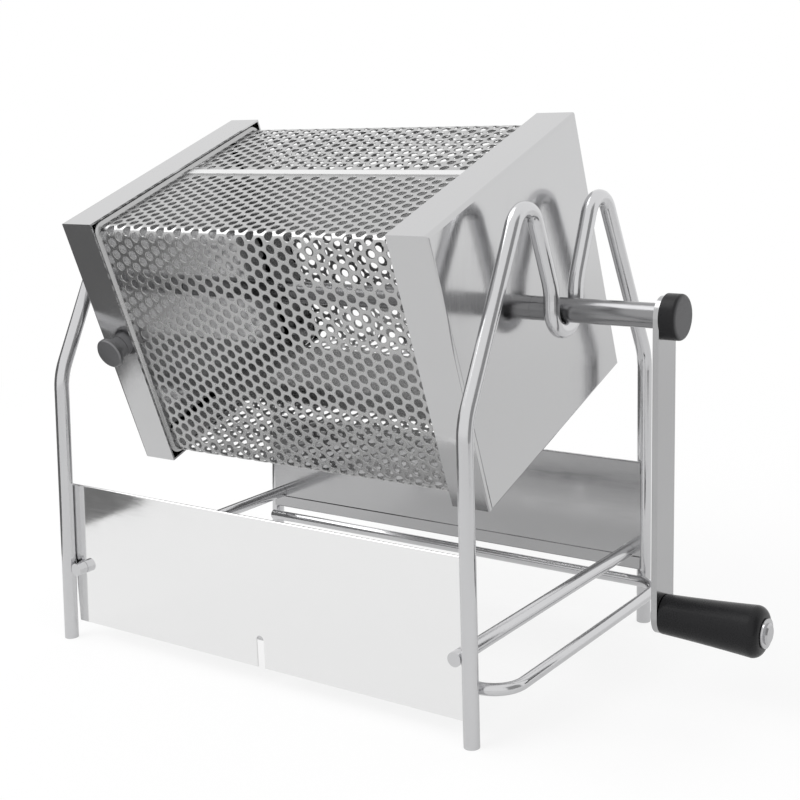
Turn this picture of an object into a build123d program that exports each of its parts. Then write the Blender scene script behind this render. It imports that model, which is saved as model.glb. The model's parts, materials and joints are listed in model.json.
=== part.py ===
from build123d import *
from math import pi, radians, sin, sqrt, tan
import os

# Stovetop coffee bean roaster: a square drum of perforated sheet between two folded sheet end
# caps turns on an axle, which lies in the cradles of two bent-wire side frames. A crank with a
# turning grip drives it. Two sheet shields stand before and behind the burner. The left end cap
# comes off to fill the drum, and a thumbscrew holds it.
#
# Frame: +X towards the crank, -Y towards the front, +Z up, feet on Z = 0. The pieces are made
# with X = 0 halfway between the side frames and moved to the middle of the whole on export.

# ---- Driving sizes, in millimetres and degrees ----

# Side frames: one wire each, bent to an M whose middle dip is the cradle of the axle
FRAME_WIRE = 6.5          # wire thickness
RIGHT_FRAME_X = 110.0     # drum middle to the wire's centre line, all the way up
LEFT_FRAME_X = 105.5      # the same for the left frame's loops and cradle
LEFT_FOOT_X = 113.5       # its legs lean outwards from the shoulders to here
LEG_Y = 76.5              # axle line to the legs' centre lines
SHOULDER_Z = 127.2        # corner where the leg turns into the leaning outer arm
PEAK_Y = 30.1             # corner of the loop, before it is rounded
PEAK_Z = 214.2
NECK_Z = 168.1            # corner where the inner arm turns upright above the cradle
CRADLE_Z = 150.7          # centre line at the bottom of the cradle
CRADLE_PLAY = 1.75        # room on each side of the axle
SHOULDER_BEND = 25.0      # centre-line bend radii
PEAK_BEND = 9.5
NECK_BEND = 20.0
CRADLE_FLAT = 0.5         # straight stretch on each side of the cradle's lowest point

# Cross rods from the front leg to the back leg of each frame
ROD_WIRE = 6.0
ROD_Z = 35.0
ROD_PAST_LEG = 1.5        # rod end beyond the leg's centre line

# Base wire: a long U whose closed end stands out beyond the right frame
BASE_WIRE = 5.0
BASE_Z = 21.8
BASE_LOOP_X = 122.0
BASE_BEND = 13.0

# Heat shields. The front one has a slot; the back one is narrower and hemmed below as well
SHIELD_SHEET = 0.6
SHIELD_END_X = 110.0      # drum middle to each end, behind the legs
FRONT_SHIELD_BOTTOM = 8.0
FRONT_SHIELD_TOP = 75.0
BACK_SHIELD_BOTTOM = 26.5
BACK_SHIELD_TOP = 78.5
HEM_DEPTH = 6.0           # folded-over edge
HEM_GAP = 0.2
ROD_HOLE_PLAY = 0.1
SLOT_WIDTH = 4.0          # round-topped slot up from the front shield's lower edge
SLOT_TOP = 22.5
SLOT_X = 2.0

# Drum
DRUM_TURN = 19.7          # how far the drum stands turned about the axle at rest
CAP_FACE_X = 96.5         # drum middle to the outer face of each end cap
CAP_SIDE = 121.4
CAP_FLANGE = 18.6         # depth of the folded rim
CAP_SHEET = 0.8
CAP_BEND = 1.6            # outer radius of the fold
CAP_SEAT_GAP = 0.3        # left cap's plate to the ends of the mesh
CAP_BORE_PLAY = 0.3       # radial room of the left cap on the axle
WELD_BORE_PLAY = 0.05     # radial room where a piece is fixed on its shaft
RIM_GAP = 2.1             # inner face of the caps' rims to the mesh
MESH_SHEET = 0.5
MESH_BEND = 4.0           # outer radius of the wrapped sheet's corners
HOLE_SIZE = 13.0          # across the flats of a six-sided hole
HOLE_WEB = 3.6            # sheet left between two holes
HOLE_MARGIN = 2.5         # least sheet left along the edges of a panel
SEAM_WIDTH = 4.5          # strip over the joint of the wrapped sheet
SEAM_SHEET = 0.6
SEAM_Y = 2.5
SEAM_END_GAP = 0.2
FIN_SHEET = 0.8
FIN_HEIGHT = 28.0
FIN_FOOT = 8.0

# Axle and crank
AXLE = 10.0
AXLE_LEFT_X = -118.0
AXLE_CHAMFER = 1.0
AXLE_SEAT_GAP = 0.05      # running gap in the cradle
ARM_X = 152.7             # inner face of the crank arm
ARM_SHEET = 2.5
ARM_WIDTH = 16.0
CRANK_THROW = 121.5
DRIVE_SIZE = 8.0          # axle end through the arm: a round with two flats
DRIVE_FLATS = 6.0
STUD = 6.0                # threaded end in the crank knob
STUD_LENGTH = 4.5
KNOB = 18.2
KNOB_LENGTH = 6.8
KNOB_ROUND = 1.5
KNOB_BORE_SPARE = 0.3     # bore depth beyond the stud

# Grip
SPINDLE = 6.0
SPINDLE_HEAD = 10.0
SPINDLE_HEAD_LENGTH = 1.6
GRIP_BORE_PLAY = 0.1
GRIP_END_GAP = 0.3        # grip to the arm, and to the washer
GRIP_LENGTH = 41.5
GRIP_NECK = 16.3
GRIP_BELLY = 20.8
GRIP_WAIST = 17.6         # diameter a third of the way along
GRIP_END_ROUND = 4.0
WASHER = 12.0
WASHER_SHEET = 0.8
RIVET = 8.5
RIVET_LENGTH = 1.1
RIVET_CHAMFER = 0.7

# Thumbscrew of the left end cap
LATCH_SHANK = 5.0
LATCH_PLAY = 0.1
LATCH_TIP_GAP = 0.3       # shank tip to the mesh
LATCH_SEAT_GAP = 0.1      # neck to the flange
LATCH_NECK = 10.5
LATCH_NECK_LENGTH = 4.5
LATCH_HEAD = 14.0
LATCH_HEAD_LENGTH = 2.8
LATCH_CHAMFER = 0.6
LATCH_NUT = 9.0
LATCH_NUT_GAP = 0.6       # nut to the mesh

# ---- Places that follow from them ----

CRADLE_HALF = AXLE / 2 + FRAME_WIRE / 2 + CRADLE_PLAY
CRADLE_BEND = CRADLE_HALF - CRADLE_FLAT
AXLE_Z = CRADLE_Z + FRAME_WIRE / 2 + AXLE_SEAT_GAP + AXLE / 2
LEFT_LEAN = (LEFT_FOOT_X - LEFT_FRAME_X) / SHOULDER_Z
ROD_INSET = (FRAME_WIRE + ROD_WIRE) / 2                # rod to leg, between centre lines
LEFT_ROD_X = ROD_INSET * sqrt(1 + LEFT_LEAN ** 2) + LEFT_LEAN * ROD_Z - LEFT_FOOT_X
RIGHT_ROD_X = RIGHT_FRAME_X - ROD_INSET
SHIELD_Y = LEG_Y - FRAME_WIRE / 2                      # outer face of a shield, on the legs
BASE_Y = SHIELD_Y - SHIELD_SHEET - BASE_WIRE / 2
MESH_HALF = CAP_SIDE / 2 - CAP_SHEET - RIM_GAP
MESH_RIGHT_X = CAP_FACE_X - CAP_SHEET
MESH_LEFT_X = CAP_SEAT_GAP - MESH_RIGHT_X
MESH_LENGTH = MESH_RIGHT_X - MESH_LEFT_X
MESH_MIDDLE_X = (MESH_RIGHT_X + MESH_LEFT_X) / 2
ARM_OUTER_X = ARM_X + ARM_SHEET
GRIP_Z = AXLE_Z - CRANK_THROW
GRIP_X = ARM_OUTER_X + GRIP_END_GAP
WASHER_X = GRIP_X + GRIP_LENGTH + GRIP_END_GAP
RIVET_X = WASHER_X + WASHER_SHEET
RIGHT_END_X = RIVET_X + RIVET_LENGTH
LATCH_X = CAP_FLANGE / 2 - CAP_FACE_X
LATCH_SHANK_LENGTH = CAP_SIDE / 2 - MESH_HALF - LATCH_TIP_GAP
MIDDLE_X = (RIGHT_END_X + AXLE_LEFT_X) / 2


# ---- Helpers ----

def rod(diameter, start, end):
    """Straight round rod from one point to another."""
    line = Line(start, end)
    return extrude(Plane(origin=line @ 0, z_dir=line % 0) * Circle(diameter / 2), line.length)


def bent_wire(diameter, corners, bends):
    """Round wire along straight runs joined by bends of the given centre-line radii."""
    path = FilletPolyline(*corners, radius=bends)
    return sweep(Plane(origin=path @ 0, z_dir=path % 0) * Circle(diameter / 2), path=path)


def on_drum(piece):
    """Turn a piece made round the X axis with the drum and lift it to the axle."""
    return Pos(0, 0, AXLE_Z) * Rot(DRUM_TURN, 0, 0) * piece


def along_x(sketch, start, end):
    """Extrude a sketch drawn in the YZ plane from X = start to X = end."""
    return Pos(start, 0, 0) * extrude(Plane.YZ * sketch, end - start)


def double_flat(play):
    """Outline of the axle's driving end in the YZ plane, grown by play."""
    return Circle(DRIVE_SIZE / 2 + play) & Rectangle(DRIVE_FLATS + 2 * play, 2 * DRIVE_SIZE)


# ---- Stand ----

def side_frame(x, foot_x):
    """One wire from foot to foot: leg, leaning arm, loop, cradle and the same again mirrored."""
    lean = (foot_x - x) / SHOULDER_Z
    below = (foot_x + lean * FRAME_WIRE, LEG_Y, -FRAME_WIRE)
    half = [below] + [(x, y, z) for y, z in ((LEG_Y, SHOULDER_Z), (PEAK_Y, PEAK_Z),
                                             (CRADLE_HALF, NECK_Z), (CRADLE_HALF, CRADLE_Z))]
    bends = [SHOULDER_BEND, PEAK_BEND, NECK_BEND, CRADLE_BEND]
    corners = [(x, -y, z) for x, y, z in half] + half[::-1]
    wire = bent_wire(FRAME_WIRE, corners, bends + bends[::-1])
    return wire & Pos(0, 0, PEAK_Z) * Box(4 * RIGHT_FRAME_X, 4 * LEG_Y, 2 * PEAK_Z)


def cross_rod(x):
    """Rod along the inner side of one frame's two legs."""
    end_y = LEG_Y + ROD_PAST_LEG
    return rod(ROD_WIRE, (x, -end_y, ROD_Z), (x, end_y, ROD_Z))


def base_wire():
    """Long U along the inner side of the legs, closed beyond the right frame."""
    corners = [(-SHIELD_END_X, -BASE_Y, BASE_Z), (BASE_LOOP_X, -BASE_Y, BASE_Z),
               (BASE_LOOP_X, BASE_Y, BASE_Z), (-SHIELD_END_X, BASE_Y, BASE_Z)]
    return bent_wire(BASE_WIRE, corners, [BASE_BEND, BASE_BEND])


def hem(edge_z, up):
    """Section of a folded edge on the back shield's inner side; up is 1 at the top, -1 below."""
    fold = SHIELD_SHEET + HEM_GAP / 2
    lip_length = HEM_DEPTH - fold
    lip = Pos(-fold + SHIELD_SHEET / 2, -up * lip_length / 2) * Rectangle(SHIELD_SHEET, lip_length)
    turn = Circle(fold) - Circle(HEM_GAP / 2)
    turn &= Pos(0, up * fold) * Rectangle(4 * fold, 2 * fold)
    return Pos(SHIELD_Y - fold, edge_z - up * fold) * (lip + turn)


def heat_shield(bottom, top, edges):
    """Back shield: a sheet on the legs' inner sides, threaded on the rods, its edges hemmed."""
    fold = SHIELD_SHEET + HEM_GAP / 2
    low, high = [z - up * fold if (z, up) in edges else z for z, up in ((bottom, -1), (top, 1))]
    section = Pos(SHIELD_Y - SHIELD_SHEET / 2, (low + high) / 2) * Rectangle(SHIELD_SHEET, high - low)
    for edge_z, up in edges:
        section += hem(edge_z, up)
    sheet = along_x(section, -SHIELD_END_X, SHIELD_END_X)
    for x in (LEFT_ROD_X, RIGHT_ROD_X):
        sheet -= rod(ROD_WIRE + 2 * ROD_HOLE_PLAY, (x, 0, ROD_Z), (x, LEG_Y, ROD_Z))
    return sheet


def back_heat_shield():
    """The narrower sheet behind the burner, hemmed above and below."""
    return heat_shield(BACK_SHIELD_BOTTOM, BACK_SHIELD_TOP,
                       [(BACK_SHIELD_BOTTOM, -1), (BACK_SHIELD_TOP, 1)])


def front_heat_shield():
    """The deeper sheet before the burner, hemmed above, with a slot in its lower edge."""
    sheet = heat_shield(FRONT_SHIELD_BOTTOM, FRONT_SHIELD_TOP, [(FRONT_SHIELD_TOP, 1)])
    round_z = SLOT_TOP - SLOT_WIDTH / 2
    slot = Pos(SLOT_X, round_z / 2) * Rectangle(SLOT_WIDTH, round_z)
    slot += Pos(SLOT_X, round_z) * Circle(SLOT_WIDTH / 2)
    return mirror(sheet - extrude(Plane.XZ * slot, -LEG_Y), Plane.XZ)


# ---- Drum ----

def end_cap(bore):
    """Right end cap: a square plate with its rim folded back over the mesh."""
    shell_middle = CAP_FACE_X - CAP_FLANGE / 2
    shell = Pos(shell_middle, 0, 0) * Box(CAP_FLANGE, CAP_SIDE, CAP_SIDE)
    shell = fillet(shell.faces().sort_by(Axis.X)[-1].edges(), CAP_BEND)
    inner_side = CAP_SIDE - 2 * CAP_SHEET
    inside = Pos(shell_middle - CAP_SHEET, 0, 0) * Box(CAP_FLANGE, inner_side, inner_side)
    inside = fillet(inside.faces().sort_by(Axis.X)[-1].edges(), CAP_BEND - CAP_SHEET)
    return shell - inside - rod(bore, (0, 0, 0), (2 * CAP_FACE_X, 0, 0))


def left_end_cap():
    """The removable cap: the right one mirrored, looser on the axle and bored for its screw."""
    cap = mirror(end_cap(AXLE + 2 * CAP_BORE_PLAY), Plane.YZ)
    return cap - rod(LATCH_SHANK + 2 * LATCH_PLAY, (LATCH_X, 0, 0), (LATCH_X, -CAP_SIDE, 0))


def hole_places(length, width):
    """Centres of a staggered pattern of holes that fills a length along X and a width along Y."""
    pitch = HOLE_SIZE + HOLE_WEB
    column = pitch * sqrt(3) / 2
    reach_x = length / 2 - HOLE_MARGIN - HOLE_SIZE / sqrt(3)
    reach_y = width / 2 - HOLE_MARGIN - HOLE_SIZE / 2
    columns = int(reach_x / column)
    rows = int(reach_y / pitch) + 1
    places = []
    for i in range(-columns, columns + 1):
        shift = pitch / 2 if i % 2 else 0
        for j in range(-rows, rows + 1):
            y = j * pitch + shift
            if abs(y) <= reach_y:
                places.append((i * column, y))
    return places


def mesh_panel():
    """One side of the wrapped sheet, in the top side's place: its flat and half of each bend."""
    flat_width = 2 * (MESH_HALF - MESH_BEND)
    holes = Sketch() + [Pos(x, y) * RegularPolygon(HOLE_SIZE / 2, 6, major_radius=False)
                        for x, y in hole_places(MESH_LENGTH, flat_width)]
    flat = extrude(Rectangle(MESH_LENGTH, flat_width) - holes, MESH_SHEET)
    panel = Pos(MESH_MIDDLE_X, 0, MESH_HALF - MESH_SHEET) * flat
    wedge_reach = 2 * MESH_BEND
    wedge_drop = wedge_reach * tan(radians(45))
    ring = Circle(MESH_BEND) - Circle(MESH_BEND - MESH_SHEET)
    ring &= make_face(Polyline((0, 0), (0, wedge_reach), (wedge_drop, wedge_reach), close=True))
    bend = along_x(Pos(flat_width / 2, flat_width / 2) * ring, MESH_LEFT_X, MESH_RIGHT_X)
    return panel + bend + mirror(bend, Plane.XZ)


def seam_strip():
    """Flat strip over the joint of the wrapped sheet, from one cap's rim to the other's."""
    half_length = CAP_FACE_X - CAP_FLANGE - SEAM_END_GAP
    return Pos(0, SEAM_Y, MESH_HALF + SEAM_SHEET / 2) * Box(2 * half_length, SEAM_WIDTH, SEAM_SHEET)


def fin():
    """Lifter fin under the top side: an upright web with a foot along the mesh."""
    foot_z = MESH_HALF - MESH_SHEET
    web = Pos(0, foot_z - FIN_HEIGHT / 2) * Rectangle(FIN_SHEET, FIN_HEIGHT)
    foot = Pos(FIN_FOOT / 2 - FIN_SHEET / 2, foot_z - FIN_SHEET / 2) * Rectangle(FIN_FOOT, FIN_SHEET)
    return along_x(web + foot, MESH_LEFT_X, MESH_RIGHT_X)


# ---- Axle, crank and grip, made round the X axis ----

def axle():
    """Round bar through the drum, with a two-flat driving end and a stud for the knob."""
    bar = rod(AXLE, (AXLE_LEFT_X, 0, 0), (ARM_X, 0, 0))
    bar = chamfer(bar.faces().sort_by(Axis.X)[0].edges(), AXLE_CHAMFER)
    bar += along_x(double_flat(0), ARM_X, ARM_OUTER_X)
    return bar + rod(STUD, (ARM_OUTER_X, 0, 0), (ARM_OUTER_X + STUD_LENGTH, 0, 0))


def crank_arm():
    """Flat bar with round ends, hanging from the axle to the grip."""
    bar = Pos(0, -CRANK_THROW / 2) * Rot(0, 0, 90) * SlotCenterToCenter(CRANK_THROW, ARM_WIDTH)
    bar -= double_flat(WELD_BORE_PLAY)
    bar -= Pos(0, -CRANK_THROW) * Circle(SPINDLE / 2 + WELD_BORE_PLAY)
    return along_x(bar, ARM_X, ARM_OUTER_X)


def crank_knob():
    """Round cap nut on the axle's stud."""
    knob = rod(KNOB, (ARM_OUTER_X, 0, 0), (ARM_OUTER_X + KNOB_LENGTH, 0, 0))
    knob = fillet(knob.faces().sort_by(Axis.X)[-1].edges(), KNOB_ROUND)
    bore_end = ARM_OUTER_X + STUD_LENGTH + KNOB_BORE_SPARE
    return knob - rod(STUD + 2 * WELD_BORE_PLAY, (ARM_OUTER_X, 0, 0), (bore_end, 0, 0))


def grip_spindle():
    """Pin riveted into the arm, with a head at each end."""
    pin = rod(SPINDLE, (ARM_X, 0, 0), (RIVET_X, 0, 0))
    pin += rod(SPINDLE_HEAD, (ARM_X - SPINDLE_HEAD_LENGTH, 0, 0), (ARM_X, 0, 0))
    rivet = rod(RIVET, (RIVET_X, 0, 0), (RIGHT_END_X, 0, 0))
    return pin + chamfer(rivet.faces().sort_by(Axis.X)[-1].edges(), RIVET_CHAMFER)


def grip_washer():
    """Flat washer under the spindle's outer head."""
    washer = Circle(WASHER / 2) - Circle(SPINDLE / 2 + WELD_BORE_PLAY)
    return along_x(washer, WASHER_X, RIVET_X)


def grip():
    """Handle turned to a swelling outline with a rounded end, bored for the spindle."""
    bore = SPINDLE / 2 + GRIP_BORE_PLAY
    belly = (GRIP_LENGTH - GRIP_END_ROUND, GRIP_BELLY / 2)
    outline = ThreePointArc((0, GRIP_NECK / 2), (GRIP_LENGTH / 3, GRIP_WAIST / 2), belly)
    rim = (GRIP_LENGTH, GRIP_BELLY / 2 - GRIP_END_ROUND)
    rounding = RadiusArc(belly, rim, GRIP_END_ROUND)
    back = Polyline(rim, (GRIP_LENGTH, bore), (0, bore), (0, GRIP_NECK / 2))
    return Pos(GRIP_X, 0, 0) * revolve(make_face([outline, rounding, back]), Axis.X)


def at_grip(piece):
    """Move a piece made round the X axis down to the grip's line."""
    return Pos(0, 0, GRIP_Z) * piece


# ---- Thumbscrew, made with its axis along Z and the flange's outer face at Z = 0 ----

def latch_knob():
    """Round head on a neck, with a shank through the flange that stops just short of the mesh."""
    shank = rod(LATCH_SHANK, (0, 0, -LATCH_SHANK_LENGTH), (0, 0, LATCH_SEAT_GAP))
    neck_top = LATCH_SEAT_GAP + LATCH_NECK_LENGTH
    neck = rod(LATCH_NECK, (0, 0, LATCH_SEAT_GAP), (0, 0, neck_top))
    head = rod(LATCH_HEAD, (0, 0, neck_top), (0, 0, neck_top + LATCH_HEAD_LENGTH))
    return shank + neck + chamfer(head.edges().filter_by(GeomType.CIRCLE), LATCH_CHAMFER)


def latch_nut():
    """Round nut welded inside the flange, for the thumbscrew."""
    ring = Circle(LATCH_NUT / 2) - Circle(LATCH_SHANK / 2 + LATCH_PLAY)
    return Pos(0, 0, -CAP_SHEET) * extrude(ring, LATCH_NUT_GAP - RIM_GAP)


def on_flange(piece):
    """Stand a piece on the middle of the left cap's front flange."""
    return Plane(origin=(LATCH_X, -CAP_SIDE / 2, 0), z_dir=(0, -1, 0)) * piece


# ---- All pieces ----

PANEL_TURNS = {"top_mesh": 0, "front_mesh": 90, "bottom_mesh": 180, "back_mesh": 270}


def pieces():
    """Every piece by name, in place."""
    panel = mesh_panel()
    made = {
        "left_side_frame": side_frame(-LEFT_FRAME_X, -LEFT_FOOT_X),
        "right_side_frame": side_frame(RIGHT_FRAME_X, RIGHT_FRAME_X),
        "left_cross_rod": cross_rod(LEFT_ROD_X),
        "right_cross_rod": cross_rod(RIGHT_ROD_X),
        "base_wire": base_wire(),
        "back_heat_shield": back_heat_shield(),
        "front_heat_shield": front_heat_shield(),
        "right_end_cap": on_drum(end_cap(AXLE + 2 * WELD_BORE_PLAY)),
        "left_end_cap": on_drum(left_end_cap()),
        "seam_strip": on_drum(seam_strip()),
        "top_fin": on_drum(fin()),
        "bottom_fin": on_drum(Rot(180, 0, 0) * fin()),
        "axle": Pos(0, 0, AXLE_Z) * axle(),
        "crank_arm": Pos(0, 0, AXLE_Z) * crank_arm(),
        "crank_knob": Pos(0, 0, AXLE_Z) * crank_knob(),
        "grip_spindle": at_grip(grip_spindle()),
        "grip_washer": at_grip(grip_washer()),
        "grip": at_grip(grip()),
        "latch_knob": on_drum(on_flange(latch_knob())),
        "latch_nut": on_drum(on_flange(latch_nut())),
    }
    for name, turn in PANEL_TURNS.items():
        made[name] = on_drum(Rot(turn, 0, 0) * panel)
    return made


os.makedirs("parts", exist_ok=True)
for name, piece in pieces().items():
    export_step(Pos(-MIDDLE_X, 0, 0) * piece, f"parts/{name}.step")
print(f"axle height {AXLE_Z:.2f}, grip height {GRIP_Z:.2f}, moved {-MIDDLE_X:.2f} along X")
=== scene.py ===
"""Looks of the stovetop coffee bean roaster: finishes, perforated drum sheet, light and camera."""

import json
import logging
import math
from dataclasses import dataclass, field
from enum import Enum
from typing import ClassVar, Iterable, Optional, Sequence

import bmesh
import bpy
from mathutils import Matrix, Vector


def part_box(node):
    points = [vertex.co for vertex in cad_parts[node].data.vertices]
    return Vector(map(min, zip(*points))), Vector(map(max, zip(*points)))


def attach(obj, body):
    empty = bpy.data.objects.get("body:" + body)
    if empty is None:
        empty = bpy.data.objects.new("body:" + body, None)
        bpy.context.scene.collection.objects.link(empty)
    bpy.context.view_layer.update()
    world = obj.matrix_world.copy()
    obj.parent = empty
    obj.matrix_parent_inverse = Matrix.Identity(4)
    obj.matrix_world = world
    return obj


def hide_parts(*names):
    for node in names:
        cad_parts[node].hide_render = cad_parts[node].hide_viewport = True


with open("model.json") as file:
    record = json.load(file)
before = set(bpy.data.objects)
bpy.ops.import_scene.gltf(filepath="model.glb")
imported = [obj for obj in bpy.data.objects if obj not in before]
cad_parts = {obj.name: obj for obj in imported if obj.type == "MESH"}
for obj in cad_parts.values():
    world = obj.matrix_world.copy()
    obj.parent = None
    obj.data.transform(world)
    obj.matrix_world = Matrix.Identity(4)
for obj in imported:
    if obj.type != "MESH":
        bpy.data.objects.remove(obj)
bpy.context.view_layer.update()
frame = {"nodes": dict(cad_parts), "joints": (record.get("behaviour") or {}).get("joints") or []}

log = logging.getLogger("roaster")

MM = 0.001

# The drum stands turned by this much about the axle, which runs along X.
DRUM_TURN = math.radians(19.7)

# Noise of the finishes: scale of the patches, and octaves of the lines, patches and waves.
PATCH_SCALE = 60.0
LINE_DETAIL = 3.0
PATCH_DETAIL = 4.0
WAVE_DETAIL = 0.0
# The product of lines and patches mostly lies in this range.
NOISE_RANGE = (0.12, 0.42)
SMOOTHEST = 0.02
# How far below a piece's outermost face the face's own colour starts, and is full.
FACE_EDGE = (0.7 * MM, 0.1 * MM)

# Two whole numbers are equal where they differ by less.
SAME = 0.1


def joint_point(name: str) -> Vector:
    """Point on the axis of a joint of the frame, in metres."""
    return Vector(next(j for j in frame["joints"] if j["name"] == name)["pos_m"])


AXLE = joint_point("drum_turn")


def map_range(tree: bpy.types.NodeTree, value: bpy.types.NodeSocket, source: tuple[float, float],
              target: tuple[float, float]) -> bpy.types.NodeSocket:
    """Map a value from one range to another in a shader, clamped at both ends.

    Args:
        tree: the material's or world's node tree.
        value: the value to map.
        source: the range it comes from.
        target: the range it goes to.

    Returns:
        The mapped value's socket.
    """
    ramp = tree.nodes.new("ShaderNodeMapRange")
    for name, number in zip(("From Min", "From Max", "To Min", "To Max"), (*source, *target)):
        ramp.inputs[name].default_value = number
    tree.links.new(value, ramp.inputs["Value"])
    return ramp.outputs["Result"]


# ---------------------------------------------------------------- finishes

class Grain(Enum):
    """Which way the fine lines of a metal finish run."""

    NONE = (1.0, 1.0, 1.0)
    ALONG_X = (0.04, 1.0, 1.0)
    ALONG_Z = (1.0, 1.0, 0.04)


@dataclass(frozen=True)
class Finish:
    """A surface finish, with fine grain in its roughness and a slow waviness in its relief.

    Attributes:
        name: name of the material.
        colour: linear base colour.
        metallic: 1 for metal, 0 for plastic.
        roughness: middle of the roughness range.
        spread: how far roughness strays to each side.
        grain: which way the fine lines run.
        grain_scale: lines per metre, about.
        grain_depth: depth of the fine lines in metres.
        wave_scale: waves per metre of the slow unevenness.
        wave_depth: depth of the slow unevenness in metres.
        gloss: how strongly plastic mirrors, 0.5 as usual.
        face: colour of the piece's outermost face along X, where it differs.
    """

    name: str
    colour: tuple[float, float, float]
    metallic: float = 1.0
    roughness: float = 0.2
    spread: float = 0.05
    grain: Grain = Grain.NONE
    grain_scale: float = 1500.0
    grain_depth: float = 0.00001
    wave_scale: float = 12.0
    wave_depth: float = 0.0
    gloss: float = 0.5
    face: Optional[tuple[float, float, float]] = None

    def build(self, face_x: float = 0.0) -> bpy.types.Material:
        """Make the node material of this finish.

        Args:
            face_x: where the outermost face lies, for a finish with a face of its own colour.

        Returns:
            The new material.
        """
        material = bpy.data.materials.new(self.name)
        material.use_nodes = True
        tree = material.node_tree
        shader = tree.nodes["Principled BSDF"]
        shader.inputs["Base Color"].default_value = (*self.colour, 1.0)
        shader.inputs["Metallic"].default_value = self.metallic
        shader.inputs["Specular IOR Level"].default_value = self.gloss
        place = tree.nodes.new("ShaderNodeTexCoord").outputs["Object"]
        if self.face is not None:
            tree.links.new(self._faced(tree, place, face_x), shader.inputs["Base Color"])
        lines = self._noise(tree, place, self.grain_scale, self.grain.value, LINE_DETAIL)
        patches = self._noise(tree, place, PATCH_SCALE, Grain.NONE.value, PATCH_DETAIL)
        mixed = tree.nodes.new("ShaderNodeMath")
        mixed.operation = "MULTIPLY"
        tree.links.new(lines, mixed.inputs[0])
        tree.links.new(patches, mixed.inputs[1])
        bounds = (max(self.roughness - self.spread, SMOOTHEST), self.roughness + self.spread)
        tree.links.new(map_range(tree, mixed.outputs[0], NOISE_RANGE, bounds),
                       shader.inputs["Roughness"])
        relief = self._bump(tree, lines, self.grain_depth, None)
        if self.wave_depth > 0:
            waves = self._noise(tree, place, self.wave_scale, Grain.NONE.value, WAVE_DETAIL)
            relief = self._bump(tree, waves, self.wave_depth, relief)
        tree.links.new(relief, shader.inputs["Normal"])
        return material

    def _faced(self, tree: bpy.types.NodeTree, place: bpy.types.NodeSocket,
               face_x: float) -> bpy.types.NodeSocket:
        """Colour the outermost face along X on its own, with a soft edge.

        Args:
            tree: the material's node tree.
            place: texture coordinates.
            face_x: where that face lies.

        Returns:
            The colour's socket.
        """
        split = tree.nodes.new("ShaderNodeSeparateXYZ")
        tree.links.new(place, split.inputs[0])
        start, full = (face_x - depth for depth in FACE_EDGE)
        edge = map_range(tree, split.outputs[0], (start, full), (0.0, 1.0))
        mix = tree.nodes.new("ShaderNodeMix")
        mix.data_type = "RGBA"
        tree.links.new(edge, mix.inputs["Factor"])
        mix.inputs["A"].default_value = (*self.colour, 1.0)
        mix.inputs["B"].default_value = (*self.face, 1.0)
        return mix.outputs["Result"]

    @staticmethod
    def _noise(tree: bpy.types.NodeTree, place: bpy.types.NodeSocket, scale: float,
               stretch: Sequence[float], detail: float) -> bpy.types.NodeSocket:
        """Add a noise texture stretched along the grain.

        Args:
            tree: the material's node tree.
            place: texture coordinates.
            scale: noise scale.
            stretch: scale of each axis.
            detail: octaves of finer noise.

        Returns:
            The noise value's socket.
        """
        mapping = tree.nodes.new("ShaderNodeMapping")
        mapping.inputs["Scale"].default_value = stretch
        noise = tree.nodes.new("ShaderNodeTexNoise")
        noise.inputs["Scale"].default_value = scale
        noise.inputs["Detail"].default_value = detail
        tree.links.new(place, mapping.inputs["Vector"])
        tree.links.new(mapping.outputs["Vector"], noise.inputs["Vector"])
        return noise.outputs["Fac"]

    @staticmethod
    def _bump(tree: bpy.types.NodeTree, height: bpy.types.NodeSocket, depth: float,
              below: Optional[bpy.types.NodeSocket]) -> bpy.types.NodeSocket:
        """Add a bump node, on top of another if one is given.

        Args:
            tree: the material's node tree.
            height: height from 0 to 1.
            depth: depth of height 1 in metres.
            below: the bump this one lies on.

        Returns:
            The bumped normal's socket.
        """
        bump = tree.nodes.new("ShaderNodeBump")
        bump.inputs["Distance"].default_value = depth
        tree.links.new(height, bump.inputs["Height"])
        if below is not None:
            tree.links.new(below, bump.inputs["Normal"])
        return bump.outputs["Normal"]


POLISHED_WIRE = Finish("polished_wire", (0.63, 0.63, 0.64), roughness=0.17, spread=0.05,
                       grain_scale=900.0, grain_depth=0.000006)
MIRROR_SHEET = Finish("mirror_sheet", (0.92, 0.92, 0.92), roughness=0.10, spread=0.04,
                      grain=Grain.ALONG_X, grain_scale=1800.0, grain_depth=0.000002,
                      wave_scale=14.0, wave_depth=0.00035)
# The back shield is the same mirror steel as the front one. Its darker colour is painted shade,
# standing in for the shade under the drum that darkens what it mirrors.
SHADED_BACK_SHEET = Finish("painted_shade_sheet", (0.47, 0.47, 0.475), roughness=0.14, spread=0.05,
                        grain=Grain.ALONG_X, grain_scale=1800.0, grain_depth=0.000002,
                        wave_scale=14.0, wave_depth=0.00030)
CAP_SHEET = Finish("cap_sheet", (0.58, 0.58, 0.585), roughness=0.15, spread=0.05,
                   grain=Grain.ALONG_Z, grain_scale=1800.0, grain_depth=0.000003,
                   wave_scale=11.0, wave_depth=0.00025)
PERFORATED = Finish("perforated_sheet", (0.48, 0.48, 0.48), roughness=0.26, spread=0.06,
                    grain_scale=700.0, grain_depth=0.000008)
BRIGHT_STRIP = Finish("bright_strip", (0.84, 0.84, 0.84), roughness=0.22, spread=0.06,
                      grain=Grain.ALONG_X, grain_scale=900.0, grain_depth=0.000004)
TURNED_STEEL = Finish("turned_steel", (0.52, 0.52, 0.53), roughness=0.18, spread=0.05,
                      grain=Grain.NONE, grain_scale=1200.0, grain_depth=0.000004)
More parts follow.
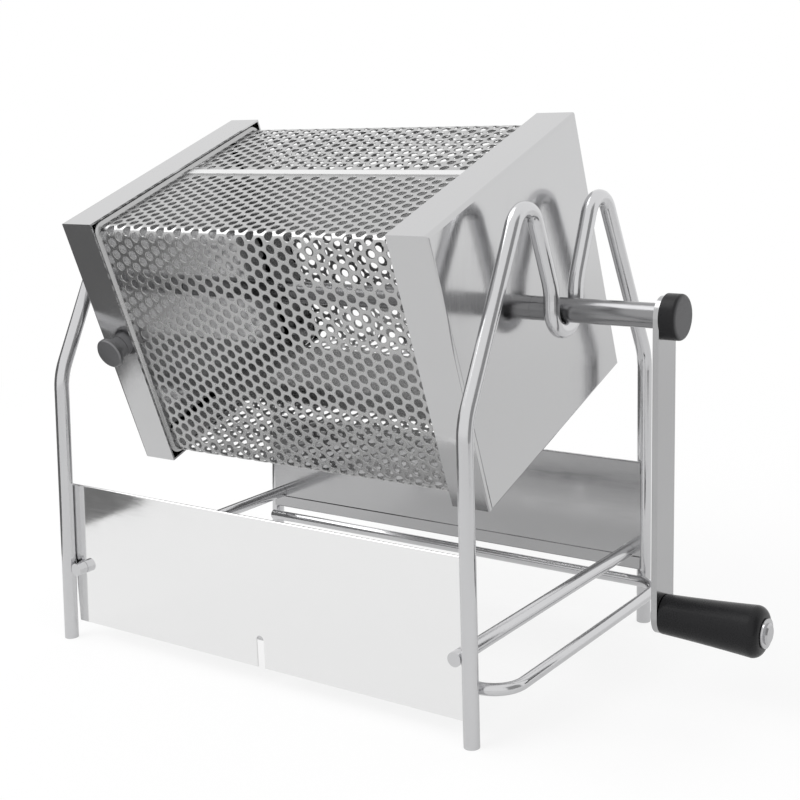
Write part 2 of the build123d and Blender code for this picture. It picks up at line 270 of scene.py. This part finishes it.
AXLE_STEEL = Finish("axle_steel", (0.28, 0.28, 0.285), roughness=0.20, spread=0.07,
                    grain=Grain.ALONG_X, grain_scale=1100.0, grain_depth=0.000008,
                    wave_scale=16.0, wave_depth=0.00012)
ARM_SHEET = Finish("arm_bar", (0.46, 0.46, 0.465), roughness=0.18, spread=0.05,
                   grain=Grain.ALONG_Z, grain_scale=1500.0, grain_depth=0.000003,
                   wave_scale=20.0, wave_depth=0.00008)
BLACK_PLASTIC = Finish("black_plastic", (0.010, 0.010, 0.011), metallic=0.0, roughness=0.30,
                       spread=0.10, grain_scale=1400.0, grain_depth=0.00002, gloss=0.22)
FACED_PLASTIC = Finish("faced_plastic", (0.010, 0.010, 0.011), metallic=0.0, roughness=0.34,
                       spread=0.08, grain_scale=1400.0, grain_depth=0.00002, gloss=0.22,
                       face=(0.075, 0.075, 0.078))
GREY_KNOB = Finish("grey_knob", (0.22, 0.22, 0.225), roughness=0.38, spread=0.08,
                   grain_scale=1400.0, grain_depth=0.00001)


# ---------------------------------------------------------------- geometry trees

class GeometryTree:
    """A Geometry Nodes tree under construction, with one geometry in and one out."""

    def __init__(self, name: str) -> None:
        """Start an empty tree with its two geometry sockets."""
        self.tree = bpy.data.node_groups.new(name, "GeometryNodeTree")
        for way in ("INPUT", "OUTPUT"):
            self.tree.interface.new_socket("Geometry", in_out=way, socket_type="NodeSocketGeometry")
        self.source = self.tree.nodes.new("NodeGroupInput")
        self.sink = self.tree.nodes.new("NodeGroupOutput")
        self.identifiers: dict[str, str] = {}

    def number(self, name: str, whole: bool = False) -> bpy.types.NodeSocket:
        """Add a named number to the tree's inputs.

        Args:
            name: the input's name.
            whole: True for a whole number.

        Returns:
            The input's socket inside the tree.
        """
        kind = "NodeSocketInt" if whole else "NodeSocketFloat"
        made = self.tree.interface.new_socket(name, in_out="INPUT", socket_type=kind)
        self.identifiers[name] = made.identifier
        return self.source.outputs[name]

    def node(self, kind: str, inputs: Optional[dict] = None, **settings: object) -> bpy.types.Node:
        """Add a node, set its properties and feed its inputs.

        Args:
            kind: the node's type name.
            inputs: input names or indices, each with a socket or a plain value.
            **settings: properties of the node.

        Returns:
            The new node.
        """
        made = self.tree.nodes.new(kind)
        for key, value in settings.items():
            setattr(made, key, value)
        for key, value in (inputs or {}).items():
            if isinstance(value, bpy.types.NodeSocket):
                self.tree.links.new(value, made.inputs[key])
            else:
                made.inputs[key].default_value = value
        return made

    def math(self, operation: str, *values: object) -> bpy.types.NodeSocket:
        """Add a math node.

        Args:
            operation: the math operation.
            *values: sockets or plain numbers.

        Returns:
            The result's socket.
        """
        made = self.node("ShaderNodeMath", dict(enumerate(values)), operation=operation)
        return made.outputs[0]

    def finish(self, geometry: bpy.types.NodeSocket, material: bpy.types.Material) -> None:
        """End the tree in Realize Instances and Set Material."""
        real = self.node("GeometryNodeRealizeInstances", {"Geometry": geometry})
        dressed = self.node("GeometryNodeSetMaterial",
                            {"Geometry": real.outputs[0], "Material": material})
        self.tree.links.new(dressed.outputs[0], self.sink.inputs[0])

    def apply(self, mesh: bpy.types.Mesh, name: str, values: dict[str, float]) -> bpy.types.Object:
        """Run the tree on a mesh and return the result as an object with a plain mesh.

        Args:
            mesh: the geometry fed to the tree.
            name: name of the new object.
            values: value of each named input.

        Returns:
            The new object, with no modifier left.
        """
        host = bpy.data.objects.new(name, mesh)
        bpy.context.scene.collection.objects.link(host)
        modifier = host.modifiers.new("tree", "NODES")
        modifier.node_group = self.tree
        for key, value in values.items():
            modifier[self.identifiers[key]] = value
        graph = bpy.context.evaluated_depsgraph_get()
        result = bpy.data.meshes.new_from_object(host.evaluated_get(graph))
        host.modifiers.remove(modifier)
        host.data = result
        return host


# ---------------------------------------------------------------- small helpers

def mesh_object(name: str, mesh: bpy.types.Mesh) -> bpy.types.Object:
    """Link a new object with this mesh."""
    made = bpy.data.objects.new(name, mesh)
    bpy.context.scene.collection.objects.link(made)
    return made


def shade_by_angle(mesh: bpy.types.Mesh, degrees: float) -> None:
    """Shade a mesh smooth, with edges sharper than this angle left crisp."""
    mesh.polygons.foreach_set("use_smooth", [True] * len(mesh.polygons))
    mesh.set_sharp_from_angle(angle=math.radians(degrees))


def dress(nodes: Iterable[str], material: bpy.types.Material) -> None:
    """Put a material on CAD nodes that stay as they are."""
    for name in nodes:
        slots = frame["nodes"][name].material_slots
        for slot in slots:
            slot.material = material
        log.info("dressed %s with %s", name, material.name)


# ---------------------------------------------------------------- drum sheet

@dataclass
class PerforatedSheet:
    """The drum's wrapped sheet, punched with staggered rows of holes, one piece for each side.

    Attributes:
        side: outer width of a side, over the bends.
        sheet: thickness.
        bend: outer radius of a bend.
        rows: rows of holes from the middle of one bend to the next.
        hole: diameter of a hole.
        burr: width of the rolled edge round a hole.
        corners: corners of a hole's outline.
        punched_half: half the length that is punched; the ends under the rims are plain.
        seam: place of the joint across the top side.
        seam_reach: the sheet stays plain this far to each side of the joint.
        bead_place: place of the raised bead that fills the gap under each cap's rim.
        bead_width: width of that bead.
        bead_height: its height over the sheet.
        bead_foot: how far the bead's edges lie over the sheet's middle, inside the sheet.
        bead_points: points across the bead and along it.
        merge: points nearer to each other than this become one.
        crease: edges sharper than this angle stay crisp, in degrees.
    """

    PART: ClassVar[str] = "part"
    PLUG: ClassVar[int] = 1
    WALL: ClassVar[int] = 2

    side: float = 115.6 * MM
    sheet: float = 0.5 * MM
    bend: float = 4.0 * MM
    rows: int = 20
    hole: float = 4.2 * MM
    burr: float = 0.16 * MM
    corners: int = 12
    punched_half: float = 76.5 * MM
    seam: float = 2.5 * MM
    seam_reach: float = 3.6 * MM
    bead_place: float = 78.9 * MM
    bead_width: float = 3.2 * MM
    bead_height: float = 1.85 * MM
    bead_foot: float = 0.2 * MM
    bead_points: tuple[int, int] = (9, 161)
    merge: float = 0.02 * MM
    crease: float = 35.0

    @property
    def flat_half(self) -> float:
        """Half the flat width between two bends."""
        return self.side / 2 - self.bend

    @property
    def bend_middle(self) -> float:
        """Radius of a bend at the middle of the sheet."""
        return self.bend - self.sheet / 2

    @property
    def pitch(self) -> float:
        """Distance from a hole to each of its six neighbours."""
        return (2 * self.flat_half + self.bend_middle * math.pi / 2) / self.rows

    def tile(self) -> bpy.types.Mesh:
        """Make one six-sided tile with its hole and the plug that fills it where none is punched.

        Returns:
            The tile's mesh, with each face's part of it as an attribute.
        """
        top, low = self.sheet / 2, -self.sheet / 2
        rings = [(None, top), (self.hole / 2 + self.burr, top), (self.hole / 2, top - self.burr),
                 (self.hole / 2, low), (None, low)]
        shape = bmesh.new()
        made = []
        for radius, height in rings:
            ring = []
            for i in range(self.corners):
                reach = radius if radius else self._edge_reach(i)
                angle = 2 * math.pi * i / self.corners
                place = (reach * math.cos(angle), reach * math.sin(angle), height)
                ring.append(shape.verts.new(place))
            made.append(ring)
        part = shape.faces.layers.int.new(self.PART)
        for band, (outer, inner) in enumerate(zip(made, made[1:])):
            for i in range(self.corners):
                j = (i + 1) % self.corners
                face = shape.faces.new((outer[i], outer[j], inner[j], inner[i]))
                face[part] = self.WALL if band in (1, 2) else 0
        for plug in (made[1], made[3][::-1]):
            shape.faces.new(plug)[part] = self.PLUG
        mesh = bpy.data.meshes.new("sheet_tile")
        shape.to_mesh(mesh)
        shape.free()
        return mesh

    def _edge_reach(self, i: int) -> float:
        """Distance from the tile's middle to its edge at corner i of the hole."""
        per_flat = self.corners // 6
        off = 2 * math.pi * ((i % per_flat) / self.corners) - math.pi / 6
        return self.pitch / 2 / math.cos(off)

    def tree(self, material: bpy.types.Material) -> GeometryTree:
        """Build the tree that lays the tiles and beads flat and wraps them over the bends.

        Args:
            material: the sheet's material.

        Returns:
            The finished tree.
        """
        geo = GeometryTree("perforated_side")
        flat = geo.number("Flat Half Width")
        radius = geo.number("Bend Radius")
        tiles = self._tiles(geo)
        flat_sheet = geo.node("GeometryNodeJoinGeometry")
        for strip in (*self._beads(geo, flat, radius), tiles):
            geo.tree.links.new(strip, flat_sheet.inputs[0])
        bent = self._wrap(geo, flat_sheet.outputs[0], flat, radius)
        plain = geo.node("GeometryNodeRemoveAttribute", {"Geometry": bent, "Name": self.PART})
        geo.finish(plain.outputs[0], material)
        return geo

    def _tiles(self, geo: GeometryTree) -> bpy.types.NodeSocket:
        """Lay punched and plain tiles in staggered columns.

        Args:
            geo: the tree, whose geometry input is one tile.

        Returns:
            The flat sheet's socket.
        """
        columns = geo.number("Columns", whole=True)
        rows = geo.number("Rows", whole=True)
        pitch = geo.number("Pitch")
        punched_half = geo.number("Punched Half Length")
        seam = geo.number("Seam Place")
        plain_reach = geo.number("Plain Reach")

        index = geo.node("GeometryNodeInputIndex").outputs[0]
        column = geo.math("FLOOR", geo.math("DIVIDE", index, rows))
        row = geo.math("MODULO", index, rows)
        step = geo.math("MULTIPLY", pitch, math.sqrt(3) / 2)
        last = geo.math("SUBTRACT", columns, 1)
        centred = geo.math("SUBTRACT", column, geo.math("MULTIPLY", last, 0.5))
        along = geo.math("MULTIPLY", centred, step)
        shift = geo.math("MULTIPLY", geo.math("MODULO", column, 2), 0.5)
        from_middle = geo.math("SUBTRACT", row, geo.math("MULTIPLY", rows, 0.5))
        across = geo.math("MULTIPLY", geo.math("ADD", from_middle, shift), pitch)
        where = geo.node("ShaderNodeCombineXYZ", {0: along, 1: across}).outputs[0]
        count = geo.math("MULTIPLY", columns, rows)
        points = geo.node("GeometryNodePoints", {"Count": count, "Position": where}).outputs[0]

        spot = self._position(geo)
        inside = geo.math("LESS_THAN", geo.math("ABSOLUTE", spot[0]), punched_half)
        from_seam = geo.math("ABSOLUTE", geo.math("SUBTRACT", spot[1], seam))
        beside = geo.math("GREATER_THAN", from_seam, plain_reach)
        punched = geo.math("MULTIPLY", inside, beside)
        plain = geo.math("SUBTRACT", 1.0, punched)
        part = geo.node("GeometryNodeInputNamedAttribute", {"Name": self.PART}, data_type="INT")
        tiles = geo.node("GeometryNodeJoinGeometry")
        for chosen, dropped in ((punched, self.PLUG), (plain, self.WALL)):
            drop = geo.math("COMPARE", part.outputs[0], dropped, SAME)
            kept = geo.node("GeometryNodeDeleteGeometry",
                            {"Geometry": geo.source.outputs["Geometry"], "Selection": drop},
                            domain="FACE")
            laid = geo.node("GeometryNodeInstanceOnPoints",
                            {"Points": points, "Selection": chosen, "Instance": kept.outputs[0]})
            geo.tree.links.new(laid.outputs[0], tiles.inputs[0])
        real = geo.node("GeometryNodeRealizeInstances", {"Geometry": tiles.outputs[0]})
        joined = geo.node("GeometryNodeMergeByDistance",
                          {"Geometry": real.outputs[0], "Distance": self.merge})
        return joined.outputs[0]

    def _beads(self, geo: GeometryTree, flat: bpy.types.NodeSocket,
               radius: bpy.types.NodeSocket) -> list[bpy.types.NodeSocket]:
        """Lay the raised strip that fills the gap under each cap's rim.

        Args:
            geo: the tree.
            flat: half the flat width between two bends.
            radius: radius of a bend at the middle of the sheet.

        Returns:
            The sockets of the two flat strips.
        """
        place = geo.number("Bead Place")
        width = geo.number("Bead Width")
        height = geo.number("Bead Height")
        around = geo.math("ADD", geo.math("MULTIPLY", flat, 2.0),
                          geo.math("MULTIPLY", radius, math.pi / 2))
        across, along = self.bead_points
        strip = geo.node("GeometryNodeMeshGrid", {"Size X": width, "Size Y": around,
                                                  "Vertices X": across, "Vertices Y": along})
        off_middle = geo.math("DIVIDE", self._position(geo)[0], geo.math("MULTIPLY", width, 0.5))
        bulge = geo.math("SUBTRACT", 1.0, geo.math("MULTIPLY", off_middle, off_middle))
        raised = geo.math("MULTIPLY_ADD", bulge, height, self.bead_foot)
        bead = geo.node("GeometryNodeSetPosition",
                        {"Geometry": strip.outputs[0],
                         "Offset": geo.node("ShaderNodeCombineXYZ", {2: raised}).outputs[0]})
        moved = []
        for end in (place, geo.math("MULTIPLY", place, -1.0)):
            way = geo.node("ShaderNodeCombineXYZ", {0: end}).outputs[0]
            moved.append(geo.node("GeometryNodeTransform",
                                  {"Geometry": bead.outputs[0], "Translation": way}).outputs[0])
        return moved

    def _wrap(self, geo: GeometryTree, sheet: bpy.types.NodeSocket, flat: bpy.types.NodeSocket,
              radius: bpy.types.NodeSocket) -> bpy.types.NodeSocket:
        """Bend the flat sheet's two long edges down over the drum's corners.

        Args:
            geo: the tree.
            sheet: the flat sheet.
            flat: half the flat width between two bends.
            radius: radius of a bend at the middle of the sheet.

        Returns:
            The bent sheet's socket.
        """
        half = geo.number("Half Side")
        spot = self._position(geo)
        reach = geo.math("ABSOLUTE", spot[1])
        past_bend = geo.math("MAXIMUM", geo.math("SUBTRACT", reach, flat), 0.0)
        angle = geo.math("DIVIDE", past_bend, radius)
        lifted = geo.math("ADD", radius, spot[2])
        sideways = geo.math("ADD", geo.math("MINIMUM", reach, flat),
                            geo.math("MULTIPLY", lifted, geo.math("SINE", angle)))
        upward = geo.math("ADD", geo.math("SUBTRACT", half, radius),
                          geo.math("MULTIPLY", lifted, geo.math("COSINE", angle)))
        signed = geo.math("MULTIPLY", sideways, geo.math("SIGN", spot[1]))
        wrapped = geo.node("ShaderNodeCombineXYZ", {0: spot[0], 1: signed, 2: upward}).outputs[0]
        return geo.node("GeometryNodeSetPosition", {"Geometry": sheet, "Position": wrapped}).outputs[0]

    @staticmethod
    def _position(geo: GeometryTree) -> Sequence[bpy.types.NodeSocket]:
        """Split a point's place into its X, Y and Z sockets."""
        place = geo.node("GeometryNodeInputPosition").outputs[0]
        return geo.node("ShaderNodeSeparateXYZ", {0: place}).outputs

    def build(self, finish: Finish) -> None:
        """Make the four sides, each in place of its CAD panel.

        Args:
            finish: the sheet's finish.
        """
        material = finish.build()
        tree = self.tree(material)
        low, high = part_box("top_mesh")
        # Columns interlock, so the last one takes a third of a column's step more.
        columns = int((high.x - low.x) / (self.pitch * math.sqrt(3) / 2) - 1 / 3)
        values = {"Columns": columns, "Rows": self.rows, "Pitch": self.pitch,
                  "Flat Half Width": self.flat_half, "Bend Radius": self.bend_middle,
                  "Half Side": (self.side - self.sheet) / 2, "Punched Half Length": self.punched_half,
                  "Seam Place": self.seam, "Bead Place": self.bead_place,
                  "Bead Width": self.bead_width, "Bead Height": self.bead_height}
        for quarter, side in enumerate(("top", "front", "bottom", "back")):
            values["Plain Reach"] = self.seam_reach if side == "top" else -1.0
            piece = tree.apply(self.tile(), f"{side}_perforated_side", values)
            turn = Matrix.Rotation(DRUM_TURN + quarter * math.pi / 2, 4, "X")
            middle = Vector(((low.x + high.x) / 2, AXLE.y, AXLE.z))
            piece.data.transform(Matrix.Translation(middle) @ turn)
            shade_by_angle(piece.data, self.crease)
            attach(piece, "drum")
            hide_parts(f"{side}_mesh")
            log.info("%s: %d tiles, %d faces", piece.name, columns * self.rows,
                     len(piece.data.polygons))


# ---------------------------------------------------------------- CAD pieces

@dataclass
class Stand:
    """Wire frames, rods, base wire and the two shields.

    Attributes:
        wires: nodes of round wire.
        front_shield: node of the bright shield in front.
        back_shield: node of the shield behind, the same steel darkened with painted shade.
    """

    wires: tuple[str, ...] = ("left_side_frame", "right_side_frame", "left_cross_rod",
                              "right_cross_rod", "base_wire")
    front_shield: str = "front_heat_shield"
    back_shield: str = "back_heat_shield"

    def build(self) -> None:
        """Dress the stand's pieces."""
        dress(self.wires, POLISHED_WIRE.build())
        dress((self.front_shield,), MIRROR_SHEET.build())
        # The back shield's darker colour is painted shade.
        dress((self.back_shield,), SHADED_BACK_SHEET.build())


@dataclass
class Drum:
    """End caps, fins, seam, axle, crank and thumbscrew.

    Attributes:
        caps: nodes of the folded end caps.
        fins: nodes of the fins inside.
        seam: node of the strip over the sheet's joint.
        turned: nodes of small turned pieces.
        axle: node of the axle.
        arm: node of the crank arm.
        grip: node of the grip.
        cap_nut: node of the round cap nut on the axle's end.
        thumbscrew: node of the thumbscrew.
        sheet: the wrapped perforated sheet.
    """

    caps: tuple[str, ...] = ("right_end_cap", "left_end_cap")
    fins: tuple[str, ...] = ("top_fin", "bottom_fin")
    seam: str = "seam_strip"
    turned: tuple[str, ...] = ("grip_spindle", "grip_washer", "latch_nut")
    axle: str = "axle"
    arm: str = "crank_arm"
    grip: str = "grip"
    cap_nut: str = "crank_knob"
    thumbscrew: str = "latch_knob"
    sheet: PerforatedSheet = field(default_factory=PerforatedSheet)

    def build(self) -> None:
        """Dress the drum's pieces and make its perforated sheet."""
        dress(self.caps, CAP_SHEET.build())
        dress(self.fins, PERFORATED.build())
        dress((self.seam,), BRIGHT_STRIP.build())
        dress(self.turned, TURNED_STEEL.build())
        dress((self.axle,), AXLE_STEEL.build())
        dress((self.arm,), ARM_SHEET.build())
        dress((self.grip,), BLACK_PLASTIC.build())
        dress((self.cap_nut,), FACED_PLASTIC.build(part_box(self.cap_nut)[1].x))
        dress((self.thumbscrew,), GREY_KNOB.build())
        self.sheet.build(PERFORATED)


# ---------------------------------------------------------------- studio

@dataclass(frozen=True)
class Lamp:
    """A square soft lamp that looks at the drum.

    Attributes:
        name: the lamp's name.
        place: where it hangs, in metres.
        width: width of the lamp.
        watts: its power.
        mirrored: whether the metal mirrors it.
        target: the point it looks at.
    """

    name: str
    place: tuple[float, float, float]
    width: float
    watts: float
    mirrored: bool = False
    target: tuple[float, float, float] = (0.0, 0.0, 0.12)

    def build(self) -> None:
        """Hang the lamp and turn it to its target."""
        lamp = bpy.data.lights.new(self.name, "AREA")
        lamp.size = self.width
        lamp.energy = self.watts
        made = bpy.data.objects.new(self.name, lamp)
        made.location = self.place
        aim = Vector(self.target) - made.location
        made.rotation_euler = aim.to_track_quat("-Z", "Y").to_euler()
        made.visible_glossy = self.mirrored
        bpy.context.scene.collection.objects.link(made)


@dataclass(frozen=True)
class Card:
    """An upright card beside the object, which only reflections show.

    Attributes:
        name: the card's name.
        start: one end of its foot on the floor, in metres.
        end: the other end.
        height: its height.
        grey: how bright it is.
    """

    name: str
    start: tuple[float, float]
    end: tuple[float, float]
    height: float
    grey: float

    def build(self) -> None:
        """Stand the card up and hide it from all but reflections."""
        mesh = bpy.data.meshes.new(self.name)
        mesh.from_pydata([(*self.start, 0), (*self.end, 0), (*self.end, self.height),
                          (*self.start, self.height)], [], [(0, 1, 2, 3)])
        card = mesh_object(self.name, mesh)
        material = bpy.data.materials.new(self.name)
        material.use_nodes = True
        tree = material.node_tree
        tree.nodes.remove(tree.nodes["Principled BSDF"])
        glow = tree.nodes.new("ShaderNodeEmission")
        glow.inputs["Color"].default_value = (self.grey, self.grey, self.grey, 1.0)
        tree.links.new(glow.outputs[0], tree.nodes["Material Output"].inputs["Surface"])
        mesh.materials.append(material)
        card.visible_camera = False
        card.visible_diffuse = False
        card.visible_transmission = False
        card.visible_shadow = False


@dataclass
class Studio:
    """White floor, white surroundings, soft lamps and grey cards.

    Attributes:
        floor_size: width of the floor.
        floor_tone: the floor's own colour.
        floor_roughness: its roughness.
        floor_white: share of plain white that the camera sees in the floor near the object.
        rise: distances from the middle between which that share rises to 1.
        floor_mirrored: how bright the floor near the object is in reflections.
        horizon: distances between which that brightness rises to plain white.
        mirrored_share: share of that plain tone in reflections, beside the lamps' light.
        ambient: strength of the surroundings' light on the object.
        lamps: the soft lamps.
        cards: the grey cards.
    """

    floor_size: float = 12.0
    floor_tone: float = 0.86
    floor_roughness: float = 0.9
    floor_white: float = 0.82
    rise: tuple[float, float] = (0.20, 0.75)
    floor_mirrored: float = 0.79
    horizon: tuple[float, float] = (0.40, 1.8)
    mirrored_share: float = 0.6
    ambient: float = 0.6
    lamps: tuple[Lamp, ...] = (
        Lamp("key", (-0.9, -1.6, 1.7), 1.4, 24.0),
        Lamp("fill", (1.7, -0.6, 1.0), 1.2, 8.0),
        Lamp("back", (0.2, 1.6, 1.5), 1.4, 8.0),
        Lamp("overhead", (-0.81, -0.29, 1.35), 1.1, 7.5, mirrored=True),
    )
    cards: tuple[Card, ...] = (
        Card("left_card", (-0.285, -0.25), (-0.285, 0.30), 0.21, 0.16),
        Card("right_card", (0.55, -0.25), (0.60, 0.15), 0.60, 0.35),
    )

    def build(self) -> None:
        """Make the floor, the world, the lamps and the cards."""
        self._floor()
        self._world()
        for prop in (*self.lamps, *self.cards):
            prop.build()

    def _floor(self) -> None:
        """Make the white floor, which keeps the object's shadow."""
        half = self.floor_size / 2
        mesh = bpy.data.meshes.new("floor")
        corners = [(-half, -half, 0), (half, -half, 0), (half, half, 0), (-half, half, 0)]
        mesh.from_pydata(corners, [], [(0, 1, 2, 3)])
        floor = mesh_object("floor", mesh)
        material = bpy.data.materials.new("floor_white")
        material.use_nodes = True
        tree = material.node_tree
        shader = tree.nodes["Principled BSDF"]
        shader.inputs["Base Color"].default_value = (*[self.floor_tone] * 3, 1.0)
        shader.inputs["Roughness"].default_value = self.floor_roughness
        shader.inputs["Specular IOR Level"].default_value = 0.0
        light = tree.nodes.new("ShaderNodeLightPath")
        reach = tree.nodes.new("ShaderNodeVectorMath")
        reach.operation = "LENGTH"
        tree.links.new(tree.nodes.new("ShaderNodeTexCoord").outputs["Object"], reach.inputs[0])
        share = None
        for ray, nearest in (("Is Camera Ray", self.floor_white),
                             ("Is Glossy Ray", self.mirrored_share)):
            part = tree.nodes.new("ShaderNodeMath")
            part.operation = "MULTIPLY_ADD"
            part.inputs[2].default_value = 0.0
            tree.links.new(light.outputs[ray], part.inputs[0])
            tree.links.new(map_range(tree, reach.outputs["Value"], self.rise, (nearest, 1.0)),
                           part.inputs[1])
            if share is not None:
                tree.links.new(share, part.inputs[2])
            share = part.outputs[0]
        glow = tree.nodes.new("ShaderNodeEmission")
        mirrored = map_range(tree, reach.outputs["Value"], self.horizon, (self.floor_mirrored, 1.0))
        strength = tree.nodes.new("ShaderNodeMath")
        strength.operation = "MAXIMUM"
        tree.links.new(light.outputs["Is Camera Ray"], strength.inputs[0])
        tree.links.new(mirrored, strength.inputs[1])
        tree.links.new(strength.outputs[0], glow.inputs["Strength"])
        mix = tree.nodes.new("ShaderNodeMixShader")
        tree.links.new(share, mix.inputs[0])
        tree.links.new(shader.outputs[0], mix.inputs[1])
        tree.links.new(glow.outputs[0], mix.inputs[2])
        tree.links.new(mix.outputs[0], tree.nodes["Material Output"].inputs["Surface"])
        mesh.materials.append(material)

    def _world(self) -> None:
        """Make surroundings that are white to the camera and in reflections."""
        world = bpy.data.worlds.new("surroundings")
        bpy.context.scene.world = world
        world.use_nodes = True
        tree = world.node_tree
        background = tree.nodes["Background"]
        background.inputs["Color"].default_value = (1.0, 1.0, 1.0, 1.0)
        light = tree.nodes.new("ShaderNodeLightPath")
        seen = light.outputs["Is Camera Ray"]
        for other in ("Is Glossy Ray", "Is Transmission Ray"):
            both = tree.nodes.new("ShaderNodeMath")
            both.operation = "MAXIMUM"
            tree.links.new(seen, both.inputs[0])
            tree.links.new(light.outputs[other], both.inputs[1])
            seen = both.outputs[0]
        tree.links.new(map_range(tree, seen, (0.0, 1.0), (self.ambient, 1.0)),
                       background.inputs["Strength"])


@dataclass
class PhotoCamera:
    """The camera of the photograph, worked out for a square frame of 800 by 800 pixels.

    Attributes:
        place: the lens in metres.
        yaw: turn of the view from +Y towards -X, in radians.
        pitch: tilt above the horizon, in radians.
        roll: turn about the view, in radians.
        focal_px: focal length in pixels.
        middle_px: pixel that the lens points at.
        frame_px: width and height of the frame in pixels.
        sensor_mm: width of the sensor in millimetres.
        nearest: distance from which the camera sees, in metres.
    """

    place: tuple[float, float, float] = (0.3362, -0.4945, 0.2445)
    yaw: float = 0.6135
    pitch: float = -0.213
    roll: float = -0.0325
    focal_px: float = 1393.5
    middle_px: tuple[float, float] = (402.0, 400.0)
    frame_px: float = 800.0
    sensor_mm: float = 36.0
    nearest: float = 0.01

    def build(self) -> None:
        """Make the camera and set it as the scene's."""
        data = bpy.data.cameras.new("photo_camera")
        data.sensor_width = self.sensor_mm
        data.lens = self.focal_px * self.sensor_mm / self.frame_px
        data.shift_x = (self.frame_px / 2 - self.middle_px[0]) / self.frame_px
        data.shift_y = (self.middle_px[1] - self.frame_px / 2) / self.frame_px
        data.clip_start = self.nearest
        ahead = Vector((-math.sin(self.yaw) * math.cos(self.pitch),
                        math.cos(self.yaw) * math.cos(self.pitch), math.sin(self.pitch)))
        level = Vector((math.cos(self.yaw), math.sin(self.yaw), 0.0))
        up = level.cross(ahead)
        right = level * math.cos(self.roll) + up * math.sin(self.roll)
        top = up * math.cos(self.roll) - level * math.sin(self.roll)
        camera = bpy.data.objects.new("photo_camera", data)
        turn = Matrix((right, top, -ahead)).transposed().to_4x4()
        camera.matrix_world = Matrix.Translation(self.place) @ turn
        bpy.context.scene.collection.objects.link(camera)
        bpy.context.scene.camera = camera


def main() -> None:
    """Build the camera, the studio and each part of the roaster."""
    logging.basicConfig(level=logging.INFO, format="%(name)s: %(message)s")
    bpy.context.scene.view_settings.view_transform = "Standard"
    PhotoCamera().build()
    Studio().build()
    Stand().build()
    Drum().build()


if __name__ == "__main__":
    main()
